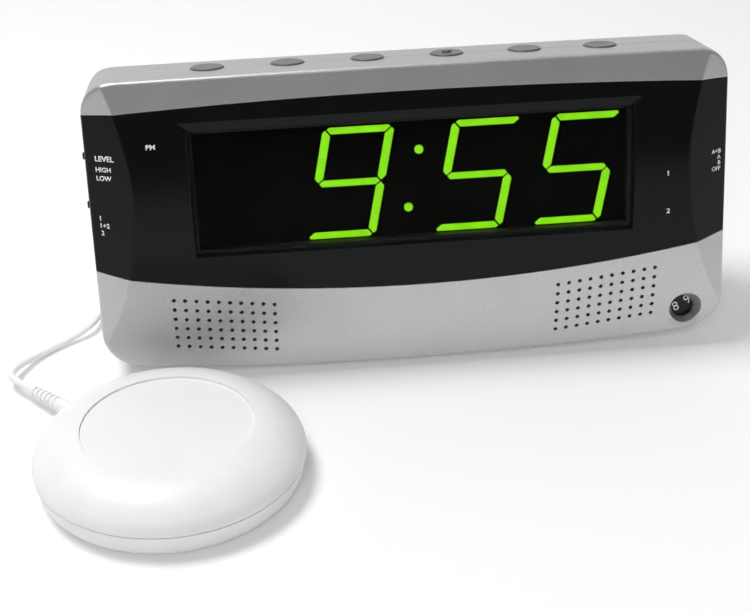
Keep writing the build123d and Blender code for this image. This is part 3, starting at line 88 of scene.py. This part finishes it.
WHEEL_X_MM = 88.6
WHEEL_V_MM = 36.2
WHEEL_FRONT_W_MM = -14.2
NUMERAL_RADIUS_MM = 19.7
NUMERAL_STEP_DEG = 14.2
NUMERAL_EIGHT_DEG = -67.8
NUMERAL_HEIGHT_MM = 3.4
NUMERAL_COUNT = 10

# Most of a noise's values lie between these two.
NOISE_LOW = 0.3
NOISE_HIGH = 0.7

# Floor, surroundings and lamps.
FLOOR_HALF_M = 4.0
FLOOR_SEEN_GLOW = 0.12
FLOOR_MIRRORED_GLOW = 0.3
BACKDROP_WAY = (0.1, 0.99, 0.0)
ROOM_GREY = 0.18
ROOM_END = 0.5
BACKDROP_GREY = 0.9
BACKDROP_START = 0.9
WORLD_STRENGTH = 0.9
# Name, place, aim, width, height, power in watts, and whether it shows in gloss.
LAMPS = (
    ("overhead", (-0.42, 0.06, 1.15), (0.0, 0.0, 0.0), 0.5, 0.4, 9.8, True),
    ("front_key", (-0.2, -1.7, 1.35), (0.0, 0.0, 0.05), 0.9, 0.6, 13.5, False),
)


def face_point(x, v, w):
    """A point of the clock's leaning face frame, in metres."""
    y = FACE_ORIGIN_Y_MM + v * math.sin(LEAN) - w * math.cos(LEAN)
    z = v * math.cos(LEAN) + w * math.sin(LEAN)
    return Vector((x, y, z)) * MM


def face_way(x, v, w):
    """A direction of the face frame."""
    return (face_point(x, v, w) - face_point(0, 0, 0)).normalized()


# Materials.
def linear(red, green, blue):
    """A display colour of 0 to 255 as the linear colour that a shader takes."""
    shares = [value / 255 for value in (red, green, blue)]
    return tuple(((s + 0.055) / 1.055) ** 2.4 if s > 0.04045 else s / 12.92 for s in shares) + (1.0,)


class Shade:
    """One node material: plain values on the shader, and noise in object space for the rest."""

    def __init__(self, name, **values):
        self.material = bpy.data.materials.new(name)
        self.material.use_nodes = True
        self.tree = self.material.node_tree
        self.shader = self.tree.nodes["Principled BSDF"]
        for socket, value in values.items():
            self.shader.inputs[socket.replace("_", " ")].default_value = value

    def node(self, kind, **settings):
        made = self.tree.nodes.new(kind)
        for key, value in settings.items():
            setattr(made, key, value)
        return made

    def link(self, output, target):
        self.tree.links.new(output, target)

    def noise(self, per_mm, detail=3.0, stretch=(1.0, 1.0, 1.0)):
        """Noise with a number of waves for each millimetre."""
        place = self.node("ShaderNodeTexCoord")
        scale = self.node("ShaderNodeMapping")
        scale.inputs["Scale"].default_value = [per_mm / MM * share for share in stretch]
        noise = self.node("ShaderNodeTexNoise")
        noise.inputs["Scale"].default_value = 1.0
        noise.inputs["Detail"].default_value = detail
        self.link(place.outputs["Object"], scale.inputs["Vector"])
        self.link(scale.outputs["Vector"], noise.inputs["Vector"])
        return noise.outputs["Fac"]

    def ramp(self, factor, low, high, low_place=NOISE_LOW, high_place=NOISE_HIGH):
        ramp = self.node("ShaderNodeValToRGB")
        ramp.color_ramp.elements[0].position = low_place
        ramp.color_ramp.elements[1].position = high_place
        ramp.color_ramp.elements[0].color = low
        ramp.color_ramp.elements[1].color = high
        self.link(factor, ramp.inputs["Fac"])
        return ramp.outputs["Color"]

    def tint(self, factor, low, high, low_place=NOISE_LOW, high_place=NOISE_HIGH):
        self.link(self.ramp(factor, low, high, low_place, high_place), self.shader.inputs["Base Color"])

    def gloss(self, factor, low, high):
        spread = self.node("ShaderNodeMapRange")
        spread.inputs["From Min"].default_value = NOISE_LOW
        spread.inputs["From Max"].default_value = NOISE_HIGH
        spread.inputs["To Min"].default_value = low
        spread.inputs["To Max"].default_value = high
        self.link(factor, spread.inputs["Value"])
        self.link(spread.outputs["Result"], self.shader.inputs["Roughness"])

    def bump(self, factor, depth_mm, strength=1.0, edge_mm=0.0):
        """Grain from noise, and worn, slightly rounded edges where edge_mm is given."""
        bump = self.node("ShaderNodeBump")
        bump.inputs["Strength"].default_value = strength
        bump.inputs["Distance"].default_value = depth_mm * MM
        self.link(factor, bump.inputs["Height"])
        if edge_mm:
            edge = self.node("ShaderNodeBevel", samples=4)
            edge.inputs["Radius"].default_value = edge_mm * MM
            self.link(edge.outputs["Normal"], bump.inputs["Normal"])
        self.link(bump.outputs["Normal"], self.shader.inputs["Normal"])


def grey(level):
    return linear(level, level, level)


def silver_paint():
    """Silver paint over moulded plastic: fine flake and a faint orange peel."""
    shade = Shade("silver_paint", Metallic=0.85)
    flake = shade.noise(2.6, detail=2.0)
    shade.tint(flake, linear(182, 183, 185), linear(198, 199, 199))
    shade.gloss(shade.noise(0.05), 0.45, 0.51)
    shade.bump(shade.noise(0.5, detail=2.0), depth_mm=0.004, edge_mm=0.3)
    return shade.material


def black_gloss():
    shade = Shade("black_gloss", Specular_IOR_Level=0.14)
    shade.tint(shade.noise(0.03), linear(9, 11, 12), linear(12, 14, 15))
    shade.gloss(shade.noise(0.06, detail=5.0), 0.16, 0.23)
    shade.bump(shade.noise(0.12, detail=2.0), depth_mm=0.01, strength=0.25, edge_mm=0.3)
    return shade.material


def moulded(name, dark, light, low_gloss, high_gloss, grain_per_mm=1.6, grain_mm=0.02, **values):
    """Moulded plastic or rubber with a fine spark-eroded grain."""
    shade = Shade(name, **values)
    shade.tint(shade.noise(0.08), dark, light)
    shade.gloss(shade.noise(0.2), low_gloss, high_gloss)
    shade.bump(shade.noise(grain_per_mm, detail=4.0), grain_mm)
    return shade.material


def display_window():
    shade = Shade("display_window", IOR=1.08, Transmission_Weight=1.0, Specular_IOR_Level=0.04)
    shade.tint(shade.noise(0.02), linear(214, 219, 212), linear(220, 225, 218))
    shade.gloss(shade.noise(0.05, detail=4.0), 0.0, 0.01)
    return shade.material


def lit_bar():
    """The lit bars: lime, with a faintly paler grain, giving off their own light."""
    shade = Shade("lit_bar", Roughness=0.5, Emission_Strength=1.25)
    colour = shade.ramp(shade.noise(0.25, detail=2.0), linear(130, 224, 2), linear(146, 236, 8))
    shade.link(colour, shade.shader.inputs["Emission Color"])
    shade.tint(shade.noise(0.25), linear(60, 100, 4), linear(70, 110, 8))
    return shade.material


def plated_steel():
    shade = Shade("plated_steel", Metallic=1.0)
    shade.tint(shade.noise(0.4), linear(176, 178, 180), linear(200, 202, 203))
    shade.gloss(shade.noise(1.5, stretch=(1.0, 1.0, 0.1)), 0.25, 0.42)
    shade.bump(shade.noise(3.0), 0.01)
    return shade.material


def brass():
    shade = Shade("turned_brass", Metallic=1.0)
    shade.tint(shade.noise(0.5), linear(190, 150, 84), linear(212, 172, 102))
    shade.gloss(shade.noise(2.0), 0.2, 0.34)
    shade.bump(shade.noise(3.0, stretch=(0.1, 1.0, 1.0)), 0.01)
    return shade.material


def circuit_board():
    """Green solder mask with paler copper tracks under it."""
    shade = Shade("circuit_board", Coat_Weight=0.3, Coat_Roughness=0.2)
    tracks = shade.noise(0.35, stretch=(1.0, 0.25, 0.25))
    shade.tint(tracks, linear(10, 62, 34), linear(34, 104, 58), 0.49, 0.51)
    shade.gloss(shade.noise(0.6), 0.35, 0.5)
    shade.bump(tracks, 0.03)
    return shade.material


MATERIALS = {
    "silver_case": silver_paint(),
    "black_gloss": black_gloss(),
    "display_lens": display_window(),
    "black_matte": moulded("black_moulding", grey(20), grey(27), 0.5, 0.62),
    "display_black": moulded("display_mask", linear(1, 2, 1), linear(2, 3, 2), 0.7, 0.8,
                             grain_mm=0.004, Specular_IOR_Level=0.04),
    "lit_green": lit_bar(),
    "unlit_grey": moulded("unlit_bar", linear(3, 4, 3), linear(4, 6, 4), 0.6, 0.7,
                          grain_mm=0.004, Specular_IOR_Level=0.06),
    "green_board": circuit_board(),
    "capacitor_sleeve": moulded("capacitor_sleeve", linear(16, 20, 52), linear(22, 26, 64), 0.25, 0.35),
    "dark_knob": moulded("dark_knob", grey(13), grey(18), 0.5, 0.6,
                         grain_mm=0.01, Specular_IOR_Level=0.25),
    "grey_plastic": moulded("grey_moulding", grey(112), grey(122), 0.42, 0.5),
    "grey_button": moulded("grey_button", grey(98), grey(106), 0.36, 0.44,
                           grain_per_mm=2.4, grain_mm=0.008, Metallic=0.2),
    "zinc_steel": plated_steel(),
    "paper_black": moulded("paper_cone", grey(24), grey(36), 0.8, 0.9, grain_per_mm=1.2, grain_mm=0.08),
    "battery_wrap": moulded("battery_wrap", grey(40), grey(50), 0.25, 0.35, grain_per_mm=0.4, grain_mm=0.01),
    "black_rubber": moulded("black_rubber", grey(26), grey(34), 0.75, 0.85, grain_per_mm=2.0, grain_mm=0.03),
    "white_shell": moulded("white_shell", grey(236), grey(240), 0.34, 0.42, grain_per_mm=1.2,
                           grain_mm=0.006, Subsurface_Weight=0.12, Subsurface_Scale=0.002),
    "label_white": moulded("label_film", grey(236), grey(239), 0.45, 0.53,
                           grain_per_mm=2.0, grain_mm=0.003),
    "brass_weight": brass(),
    "white_cord": moulded("cord_jacket", linear(238, 238, 236), linear(242, 242, 240), 0.38, 0.46,
                          grain_per_mm=1.5, grain_mm=0.01, Subsurface_Weight=0.1, Subsurface_Scale=0.0015),
    "white_plug": moulded("plug_moulding", grey(234), grey(239), 0.36, 0.44,
                          grain_per_mm=1.5, grain_mm=0.012),
}
node_slots = {entry["node"]: entry["material_slot"] for entry in frame["record"]["subparts"]}


def dress(piece, slot):
    """Gives a piece the one material of a slot."""
    piece.data.materials.clear()
    piece.data.materials.append(MATERIALS[slot])


for node, piece in frame["nodes"].items():
    dress(piece, node_slots[node])


# Printed legends and numerals.
def printed(name, text, left, way, up, height, align="LEFT", body="clock", bold=0.0, stretch=1.0):
    """Flat lettering of a given height, from its low left corner, low right corner or centre."""
    curve = bpy.data.curves.new(name + "_outline", "FONT")
    curve.body = text
    curve.extrude = 0.0
    curve.offset = bold
    curve.resolution_u = LETTER_STEPS
    holder = bpy.data.objects.new(name + "_outline", curve)
    bpy.context.scene.collection.objects.link(holder)
    bpy.context.view_layer.update()
    mesh = bpy.data.meshes.new_from_object(holder.evaluated_get(bpy.context.evaluated_depsgraph_get()))
    bpy.data.objects.remove(holder)
    low_x = min(point.co.x for point in mesh.vertices)
    high_x = max(point.co.x for point in mesh.vertices)
    low_y = min(point.co.y for point in mesh.vertices)
    high_y = max(point.co.y for point in mesh.vertices)
    out = way.cross(up)
    rise = height / (high_y - low_y)
    across = rise * stretch
    start_x = {"LEFT": low_x, "RIGHT": high_x, "CENTER": (low_x + high_x) / 2}[align]
    start_y = (low_y + high_y) / 2 if align == "CENTER" else low_y
    for point in mesh.vertices:
        flat = way * ((point.co.x - start_x) * across) + up * ((point.co.y - start_y) * rise)
        point.co = left + flat + out * PRINT_LIFT_MM * MM
    piece = bpy.data.objects.new(name, mesh)
    bpy.context.scene.collection.objects.link(piece)
    film = piece.modifiers.new("film", "SOLIDIFY")
    film.thickness = PRINT_THICK_MM * MM
    film.offset = 0.0
    dress(piece, "label_white")
    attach(piece, body)
    return piece


def skin_w(v):
    """How far the face's dome stands at a height up the face."""
    return math.sqrt(DOME_RADIUS_MM ** 2 - (v - DOME_APEX_V_MM) ** 2) - DOME_RADIUS_MM


def facet_legend(name, text, x, v, height_mm):
    """A legend on one of the sloped end facets, or on the dome between them."""
    side = 1 if x > 0 else -1
    if abs(x) > FACET_START_X_MM:
        way = face_way(1.0, 0.0, -side * FACET_SLOPE_SHARE)
        up = face_way(0.0, 1.0, 0.0)
        w = -FACET_SLOPE_SHARE * (abs(x) - FACET_START_X_MM)
    else:
        tilt = math.asin((v - DOME_APEX_V_MM) / DOME_RADIUS_MM)
        way = face_way(1.0, 0.0, 0.0)
        up = face_way(0.0, math.cos(tilt), -math.sin(tilt))
        w = skin_w(v)
    align = "RIGHT" if x > FACET_START_X_MM else "LEFT"
    return printed(name, text, face_point(x, v, w), way, up, height_mm * MM, align,
                   bold=LEGEND_BOLD, stretch=LEGEND_STRETCH)


# Name, text, place across and up the face, and letter height in millimetres.
LEGENDS = (
    ("legend_pm", "PM", -90.3, 91.4, 1.7),
    ("legend_level", "LEVEL", -107.9, 87.4, 1.9),
    ("legend_high", "HIGH", -108.0, 83.7, 1.7),
    ("legend_low", "LOW", -108.0, 80.7, 1.7),
    ("legend_first", "1", -108.2, 66.5, 1.7),
    ("legend_both", "1+2", -108.2, 63.9, 1.7),
    ("legend_second", "2", -108.2, 61.3, 1.7),
    ("legend_a_and_b", "A+B", 109.2, 76.5, 1.6),
    ("legend_a", "A", 109.2, 74.4, 1.6),
    ("legend_b", "B", 109.2, 72.3, 1.6),
    ("legend_off", "OFF", 109.2, 70.2, 1.6),
    ("legend_lamp_one", "1", 88.3, 71.2, 1.8),
    ("legend_lamp_two", "2", 88.3, 57.5, 1.8),
)
for legend in LEGENDS:
    facet_legend(*legend)

# Numerals round the volume wheel, read through its peephole.
for number in range(1, NUMERAL_COUNT + 1):
    angle = math.radians(NUMERAL_EIGHT_DEG + (number - 8) * NUMERAL_STEP_DEG)
    centre = face_point(WHEEL_X_MM + NUMERAL_RADIUS_MM * math.cos(angle),
                        WHEEL_V_MM + NUMERAL_RADIUS_MM * math.sin(angle), WHEEL_FRONT_W_MM)
    numeral_up = face_way(-math.cos(angle), -math.sin(angle), 0.0)
    numeral_way = face_way(-math.sin(angle), math.cos(angle), 0.0)
    printed("wheel_numeral_" + str(number), str(number), centre, numeral_way, numeral_up,
            NUMERAL_HEIGHT_MM * MM, "CENTER", "volume_wheel_body")


# The shaker's cord: one line from its strain relief, through the coil, to its plug.
def coil_point(turns):
    """The coil spirals in and out by turns and climbs a layer in the half turn at each reversal.

    Its radius is grown a little, as a smooth curve cuts the corners between its control points.
    """
    layer = min(int(turns / TURNS_PER_LAYER), LAYER_COUNT - 1)
    along = turns - layer * TURNS_PER_LAYER
    half = COIL_PITCH_MM * TURNS_PER_LAYER / 2
    inward = COIL_MID_RADIUS_MM + half - COIL_PITCH_MM * along
    outward = COIL_MID_RADIUS_MM - half + COIL_PITCH_MM * along
    radius = outward if layer % 2 else inward
    height = float(layer)
    for step in range(1, LAYER_COUNT):
        past = (turns - step * TURNS_PER_LAYER + REVERSAL_TURNS / 2) / REVERSAL_TURNS
        if 0.0 < past < 1.0:
            height = step - 1 + past * past * (3.0 - 2.0 * past)
    angle = 2 * math.pi * turns - math.pi / 2
    grow = 2.0 / (1.0 + math.cos(math.pi / POINTS_PER_TURN))
    return (COIL_X_MM + grow * radius * math.cos(angle), COIL_Y_MM + grow * radius * math.sin(angle),
            CORD_DIAMETER_MM / 2 + COIL_PITCH_MM * height)


relief_way = Vector((math.cos(math.radians(RELIEF_DEG)), math.sin(math.radians(RELIEF_DEG)), 0.0))
relief_tip = Vector((SHAKER_X_MM, SHAKER_Y_MM, RELIEF_Z_MM)) + relief_way * RELIEF_REACH_MM
coil_start_x = COIL_X_MM - COIL_LEAD_MM
visible_route = [tuple(relief_tip), tuple(relief_tip + relief_way * RELIEF_LEAD_MM)]
visible_route += [(-146.9, -30.9, 5.1), (-144.6, -22.9, 4.0), (-139.3, -14.2, 2.0), (-131.9, -6.5, 1.4)]
visible_route += [(-123.6, -0.9, 2.8), (-117.6, 5.2, 4.4), (-115.6, 15.8, 3.6), (-112.8, 28.0, 1.8)]
visible_route += [(-104.4, 38.6, 1.3), (-89.6, 46.0, 1.4), (-70.4, 50.4, 1.3)]
visible_route += [(-48.0, 52.55, 1.3), (coil_start_x, 52.55, 1.3)]
coil_route = [coil_point(count / POINTS_PER_TURN) for count in range(round(COIL_TURNS * POINTS_PER_TURN) + 1)]
tail_route = [(coil_start_x, 93.9, 10.6), (-33.0, 93.9, 10.6), (-43.0, 93.6, 6.6), (-52.5, 93.2, 1.9)]
tail_route += [(-62.8, 91.6, 1.5), (-71.6, 88.2, 5.6), (-77.2, 84.4, 14.5), (-79.6, 80.6, 24.5)]
tail_route += [(-80.0, 74.8, 32.4), (-80.0, 66.4, 34.9), PLUG_MOUTH_MM]


def cord_line(name, points, radius):
    """A smooth tube along control points given in millimetres."""
    curve = bpy.data.curves.new(name, "CURVE")
    curve.dimensions = "3D"
    curve.bevel_depth = radius
    curve.bevel_resolution = CORD_STEPS
    curve.resolution_u = CORD_STEPS
    spline = curve.splines.new("NURBS")
    spline.points.add(len(points) - 1)
    for point, place in zip(spline.points, points):
        point.co = (*(value * MM for value in place), 1.0)
    spline.order_u = CORD_ORDER
    spline.use_endpoint_u = True
    piece = bpy.data.objects.new(name, curve)
    bpy.context.scene.collection.objects.link(piece)
    return piece


cord = cord_line("cord", visible_route + coil_route + tail_route, CORD_DIAMETER_MM / 2 * MM)
dress(cord, "white_cord")
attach(cord, "clock")
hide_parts("shaker_cord", "cord_coil", "cord_tail")


# Floor, lamps and camera.
def plain_floor():
    """A white floor that keeps its shadows and shows as a white ground, in gloss too."""
    shade = Shade("floor_white", Roughness=0.9, Specular_IOR_Level=0.1)
    shade.tint(shade.noise(0.002), grey(234), grey(237))
    path = shade.node("ShaderNodeLightPath")
    glow = shade.node("ShaderNodeEmission")
    both = shade.node("ShaderNodeAddShader")
    seen = shade.node("ShaderNodeMath", operation="MULTIPLY")
    seen.inputs[1].default_value = FLOOR_SEEN_GLOW
    mirrored = shade.node("ShaderNodeMath", operation="MULTIPLY_ADD")
    mirrored.inputs[1].default_value = FLOOR_MIRRORED_GLOW
    output = shade.tree.nodes["Material Output"]
    shade.link(path.outputs["Is Camera Ray"], seen.inputs[0])
    shade.link(path.outputs["Is Glossy Ray"], mirrored.inputs[0])
    shade.link(seen.outputs["Value"], mirrored.inputs[2])
    shade.link(mirrored.outputs["Value"], glow.inputs["Strength"])
    shade.link(shade.shader.outputs["BSDF"], both.inputs[0])
    shade.link(glow.outputs["Emission"], both.inputs[1])
    shade.link(both.outputs["Shader"], output.inputs["Surface"])
    mesh = bpy.data.meshes.new("floor")
    corners = [(x * FLOOR_HALF_M, y * FLOOR_HALF_M, 0.0) for x, y in ((-1, -1), (1, -1), (1, 1), (-1, 1))]
    mesh.from_pydata(corners, [], [(0, 1, 2, 3)])
    floor = bpy.data.objects.new("floor", mesh)
    bpy.context.scene.collection.objects.link(floor)
    mesh.materials.append(shade.material)


def studio_world():
    """Surroundings: a dark room in front and at the sides, a pale backdrop behind, seen as white."""
    world = bpy.data.worlds.new("studio")
    bpy.context.scene.world = world
    world.use_nodes = True
    tree = world.node_tree
    ground = tree.nodes["Background"]
    place = tree.nodes.new("ShaderNodeTexCoord")
    toward = tree.nodes.new("ShaderNodeVectorMath")
    toward.operation = "DOT_PRODUCT"
    toward.inputs[1].default_value = BACKDROP_WAY
    ramp = tree.nodes.new("ShaderNodeValToRGB")
    spread = tree.nodes.new("ShaderNodeMapRange")
    spread.inputs["From Min"].default_value = -1.0
    ramp.color_ramp.elements[0].position = ROOM_END
    ramp.color_ramp.elements[0].color = (ROOM_GREY, ROOM_GREY, ROOM_GREY, 1.0)
    ramp.color_ramp.elements[1].position = BACKDROP_START
    ramp.color_ramp.elements[1].color = (BACKDROP_GREY, BACKDROP_GREY, BACKDROP_GREY, 1.0)
    tree.links.new(place.outputs["Generated"], toward.inputs[0])
    tree.links.new(toward.outputs["Value"], spread.inputs["Value"])
    tree.links.new(spread.outputs["Result"], ramp.inputs["Fac"])
    tree.links.new(ramp.outputs["Color"], ground.inputs["Color"])
    ground.inputs["Strength"].default_value = WORLD_STRENGTH
    path = tree.nodes.new("ShaderNodeLightPath")
    white = tree.nodes.new("ShaderNodeBackground")
    white.inputs["Color"].default_value = (1.0, 1.0, 1.0, 1.0)
    choice = tree.nodes.new("ShaderNodeMixShader")
    tree.links.new(path.outputs["Is Camera Ray"], choice.inputs["Fac"])
    tree.links.new(ground.outputs["Background"], choice.inputs[1])
    tree.links.new(white.outputs["Background"], choice.inputs[2])
    tree.links.new(choice.outputs["Shader"], tree.nodes["World Output"].inputs["Surface"])


def soft_lamp(name, place, aim, width, height, power, mirrored):
    """A square soft box; one that isn't mirrored lights surfaces but doesn't show in gloss."""
    data = bpy.data.lights.new(name, "AREA")
    data.shape = "RECTANGLE"
    data.size = width
    data.size_y = height
    data.energy = power
    lamp = bpy.data.objects.new(name, data)
    lamp.location = place
    lamp.rotation_euler = (Vector(aim) - Vector(place)).to_track_quat("-Z", "Y").to_euler()
    lamp.visible_glossy = mirrored
    bpy.context.scene.collection.objects.link(lamp)


def photo_camera():
    """The camera at the photo's place, angle and focal length."""
    data = bpy.data.cameras.new("photo_camera")
    data.sensor_width = SENSOR_MM
    data.lens = FOCAL_PX * SENSOR_MM / IMAGE_WIDTH_PX
    data.clip_start = CLIP_START_M
    data.clip_end = CLIP_END_M
    forward = Vector((math.sin(CAMERA_YAW) * math.cos(CAMERA_PITCH),
                      math.cos(CAMERA_YAW) * math.cos(CAMERA_PITCH), -math.sin(CAMERA_PITCH)))
    level = Vector((math.cos(CAMERA_YAW), -math.sin(CAMERA_YAW), 0.0))
    rise = level.cross(forward)
    right = level * math.cos(CAMERA_ROLL) + rise * math.sin(CAMERA_ROLL)
    up = rise * math.cos(CAMERA_ROLL) - level * math.sin(CAMERA_ROLL)
    camera = bpy.data.objects.new("photo_camera", data)
    turn = Matrix((right, up, -forward)).transposed().to_4x4()
    camera.matrix_world = Matrix.Translation(Vector(CAMERA_PLACE_MM) * MM) @ turn
    bpy.context.scene.collection.objects.link(camera)
    bpy.context.scene.camera = camera


plain_floor()
studio_world()
for lamp in LAMPS:
    soft_lamp(*lamp)
photo_camera()
bpy.context.scene.view_settings.view_transform = "Standard"
